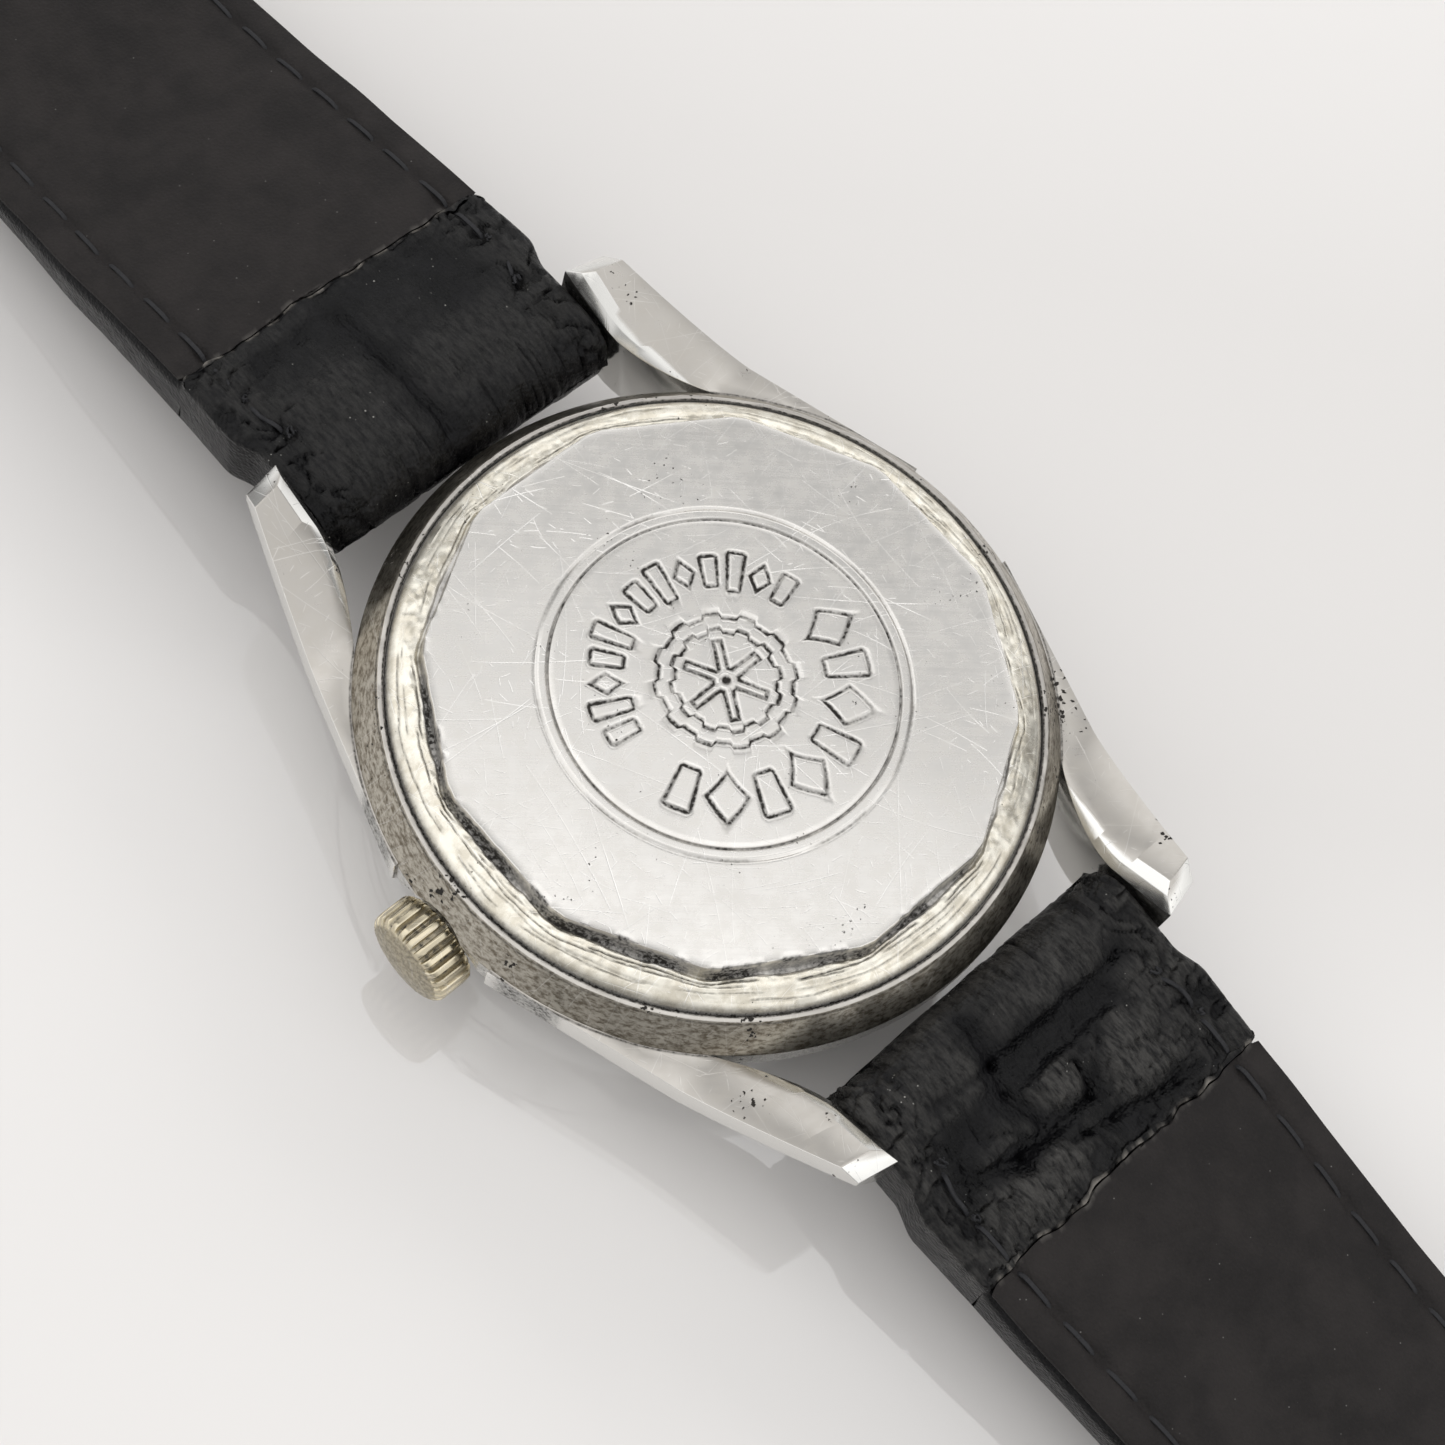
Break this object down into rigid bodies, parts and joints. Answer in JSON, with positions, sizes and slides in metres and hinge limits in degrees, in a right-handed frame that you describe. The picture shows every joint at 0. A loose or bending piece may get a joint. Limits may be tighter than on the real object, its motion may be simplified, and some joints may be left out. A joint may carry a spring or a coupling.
{
  "type": "wristwatch",
  "caption": "Automatic wristwatch with a polygonal steel screw back and a black embossed leather strap, lying on its crystal.",
  "frame": {"origin": "centre of the crystal's flat front face, on the table", "axes": "+Z out of the case back, +Y to the 12 o'clock lugs and the buckle, -X to the crown"},
  "size_m": [0.0361, 0.2383, 0.011],
  "materials": {
    "case_steel": "worn satin with fine scratches",
    "polished_steel": "polished",
    "crown_nickel": "worn, warm toned plating",
    "gasket_rubber": "matte",
    "crystal_clear": "clear, polished",
    "dial_silver": "fine sunburst",
    "blued_steel": "blued",
    "plated_brass": "gilt, striped",
    "wheel_brass": "circular grained",
    "embossed_leather": "glossy, crocodile embossed",
    "lining_leather": "matte, fine grain"
  },
  "bodies": {
    "case": {"mid_case": "case_steel", "case_back": "case_steel", "case_back_gasket": "gasket_rubber", "bezel": "polished_steel", "crystal": "crystal_clear", "crystal_gasket": "gasket_rubber", "crown_tube": "case_steel", "spring_bar_12": "case_steel", "spring_bar_6": "case_steel", "dial": "dial_silver", "dial_ring": "dial_silver", "movement_ring": "case_steel", "main_plate": "plated_brass", "barrel_bridge": "plated_brass", "train_bridge": "plated_brass", "balance_cock": "plated_brass", "case_clamp_screw_1": "polished_steel", "case_clamp_screw_2": "polished_steel", "rotor_post": "polished_steel"},
    "seconds": {"fourth_wheel": "wheel_brass", "seconds_hand": "blued_steel"},
    "minutes": {"centre_wheel": "wheel_brass", "cannon_pinion": "polished_steel", "minute_hand": "blued_steel"},
    "hours": {"hour_wheel": "wheel_brass", "hour_hand": "blued_steel"},
    "minute_wheel": {"minute_wheel": "wheel_brass"},
    "barrel": {"mainspring_barrel": "wheel_brass"},
    "third_wheel": {"third_wheel": "wheel_brass"},
    "escape_wheel": {"escape_wheel": "wheel_brass"},
    "pallet_fork": {"pallet_fork": "polished_steel"},
    "balance": {"balance_wheel": "wheel_brass", "hairspring": "blued_steel"},
    "rotor": {"rotor": "plated_brass"},
    "winding_pinion": {"winding_pinion": "polished_steel"},
    "stem": {"winding_stem": "case_steel", "crown": "crown_nickel"},
    "sliding_pinion": {"sliding_pinion": "polished_steel"},
    "crown_wheel": {"crown_wheel": "polished_steel"},
    "ratchet": {"ratchet_wheel": "polished_steel", "barrel_arbor": "polished_steel", "mainspring": "polished_steel"},
    "click": {"click": "polished_steel"},
    "strap_12_near": {"strap_12_near_cover": "embossed_leather", "strap_12_near_lining": "lining_leather"},
    "strap_12_end": {"strap_12_end_cover": "embossed_leather", "strap_12_end_lining": "lining_leather", "fixed_keeper": "embossed_leather"},
    "strap_6_near": {"strap_6_near_cover": "embossed_leather", "strap_6_near_lining": "lining_leather"},
    "strap_6_middle": {"strap_6_middle_cover": "embossed_leather", "strap_6_middle_lining": "lining_leather"},
    "strap_6_end": {"strap_6_end_cover": "embossed_leather", "strap_6_end_lining": "lining_leather"},
    "sliding_keeper": {"sliding_keeper": "embossed_leather"},
    "buckle": {"buckle_frame": "polished_steel", "buckle_bar": "polished_steel"},
    "tongue": {"buckle_tongue": "polished_steel"}
  },
  "joints": [
    {"name": "seconds_turn", "type": "hinge", "parent": "case", "child": "seconds", "pos_m": [0, 0, 0.005], "axis": [0, 0, 1], "continuous": true},
    {"name": "minutes_turn", "type": "hinge", "parent": "case", "child": "minutes", "pos_m": [0, 0, 0.005], "axis": [0, 0, 1], "continuous": true},
    {"name": "hours_turn", "type": "hinge", "parent": "case", "child": "hours", "pos_m": [0, 0, 0.003], "axis": [0, 0, 1], "continuous": true},
    {"name": "minute_wheel_turn", "type": "hinge", "parent": "case", "child": "minute_wheel", "pos_m": [0.00236, 0.00136, 0.0038], "axis": [0, 0, 1], "continuous": true},
    {"name": "barrel_turn", "type": "hinge", "parent": "case", "child": "barrel", "pos_m": [-0.00258, 0.00553, 0.0055], "axis": [0, 0, 1], "continuous": true},
    {"name": "third_wheel_turn", "type": "hinge", "parent": "case", "child": "third_wheel", "pos_m": [-0.00311, -0.00218, 0.006], "axis": [0, 0, 1], "continuous": true},
    {"name": "escape_wheel_turn", "type": "hinge", "parent": "case", "child": "escape_wheel", "pos_m": [0.00137, -0.00376, 0.006], "axis": [0, 0, 1], "continuous": true},
    {"name": "pallet_fork_swing", "type": "hinge", "parent": "case", "child": "pallet_fork", "pos_m": [0.00345, -0.00448, 0.006], "axis": [0, 0, 1], "range_deg": [-5, 5]},
    {"name": "balance_swing", "type": "hinge", "parent": "case", "child": "balance", "pos_m": [0.0064, -0.0055, 0.0065], "axis": [0, 0, 1], "range_deg": [-270, 270]},
    {"name": "rotor_turn", "type": "hinge", "parent": "case", "child": "rotor", "pos_m": [0, 0, 0.009], "axis": [0, 0, 1], "continuous": true},
    {"name": "crown_turn", "type": "hinge", "parent": "case", "child": "winding_pinion", "pos_m": [-0.0092, 0, 0.0052], "axis": [-1, 0, 0], "continuous": true},
    {"name": "crown_pull", "type": "slide", "parent": "winding_pinion", "child": "stem", "axis": [-1, 0, 0], "range_m": [0, 0.001]},
    {"name": "sliding_pinion_shift", "type": "slide", "parent": "stem", "child": "sliding_pinion", "axis": [1, 0, 0], "range_m": [0, 0.0016]},
    {"name": "crown_wheel_turn", "type": "hinge", "parent": "case", "child": "crown_wheel", "pos_m": [-0.0079, 0.0019, 0.008], "axis": [0, 0, 1], "continuous": true},
    {"name": "ratchet_turn", "type": "hinge", "parent": "case", "child": "ratchet", "pos_m": [-0.00258, 0.00553, 0.008], "axis": [0, 0, 1], "continuous": true},
    {"name": "click_swing", "type": "hinge", "parent": "case", "child": "click", "pos_m": [0.00176, 0.00857, 0.0081], "axis": [0, 0, 1], "range_deg": [-12, 0]},
    {"name": "strap_12_swing", "type": "hinge", "parent": "case", "child": "strap_12_near", "pos_m": [0, 0.0193, 0.0071], "axis": [1, 0, 0], "range_deg": [0, 65]},
    {"name": "strap_12_bend", "type": "hinge", "parent": "strap_12_near", "child": "strap_12_end", "pos_m": [0, 0.04615, 0.00575], "axis": [1, 0, 0], "range_deg": [0, 40]},
    {"name": "strap_6_swing", "type": "hinge", "parent": "case", "child": "strap_6_near", "pos_m": [0, -0.0193, 0.0071], "axis": [-1, 0, 0], "range_deg": [0, 65]},
    {"name": "strap_6_bend_1", "type": "hinge", "parent": "strap_6_near", "child": "strap_6_middle", "pos_m": [0, -0.04815, 0.00585], "axis": [-1, 0, 0], "range_deg": [0, 40]},
    {"name": "strap_6_bend_2", "type": "hinge", "parent": "strap_6_middle", "child": "strap_6_end", "pos_m": [0, -0.08815, 0.00245], "axis": [-1, 0, 0], "range_deg": [0, 40]},
    {"name": "keeper_slide", "type": "slide", "parent": "strap_12_end", "child": "sliding_keeper", "axis": [0, 1, 0], "range_m": [-0.004, 0.014]},
    {"name": "buckle_swing", "type": "hinge", "parent": "strap_12_end", "child": "buckle", "pos_m": [0, 0.092, 0.0044], "axis": [1, 0, 0], "range_deg": [0, 105]},
    {"name": "tongue_swing", "type": "hinge", "parent": "buckle", "child": "tongue", "pos_m": [0, 0.092, 0.0044], "axis": [-1, 0, 0], "range_deg": [0, 100]}
  ],
  "couplings": [
    {"joint": "minutes_turn", "follows": "seconds_turn", "ratio": 0.016667},
    {"joint": "hours_turn", "follows": "seconds_turn", "ratio": 0.0013889},
    {"joint": "minute_wheel_turn", "follows": "seconds_turn", "ratio": -0.0055556},
    {"joint": "barrel_turn", "follows": "seconds_turn", "ratio": -0.0027778},
    {"joint": "third_wheel_turn", "follows": "seconds_turn", "ratio": -0.13333},
    {"joint": "escape_wheel_turn", "follows": "seconds_turn", "ratio": -10},
    {"joint": "sliding_pinion_shift", "follows": "crown_pull", "ratio": 1.6},
    {"joint": "crown_wheel_turn", "follows": "crown_turn", "ratio": 0.5},
    {"joint": "ratchet_turn", "follows": "crown_turn", "ratio": -0.33333}
  ]
}
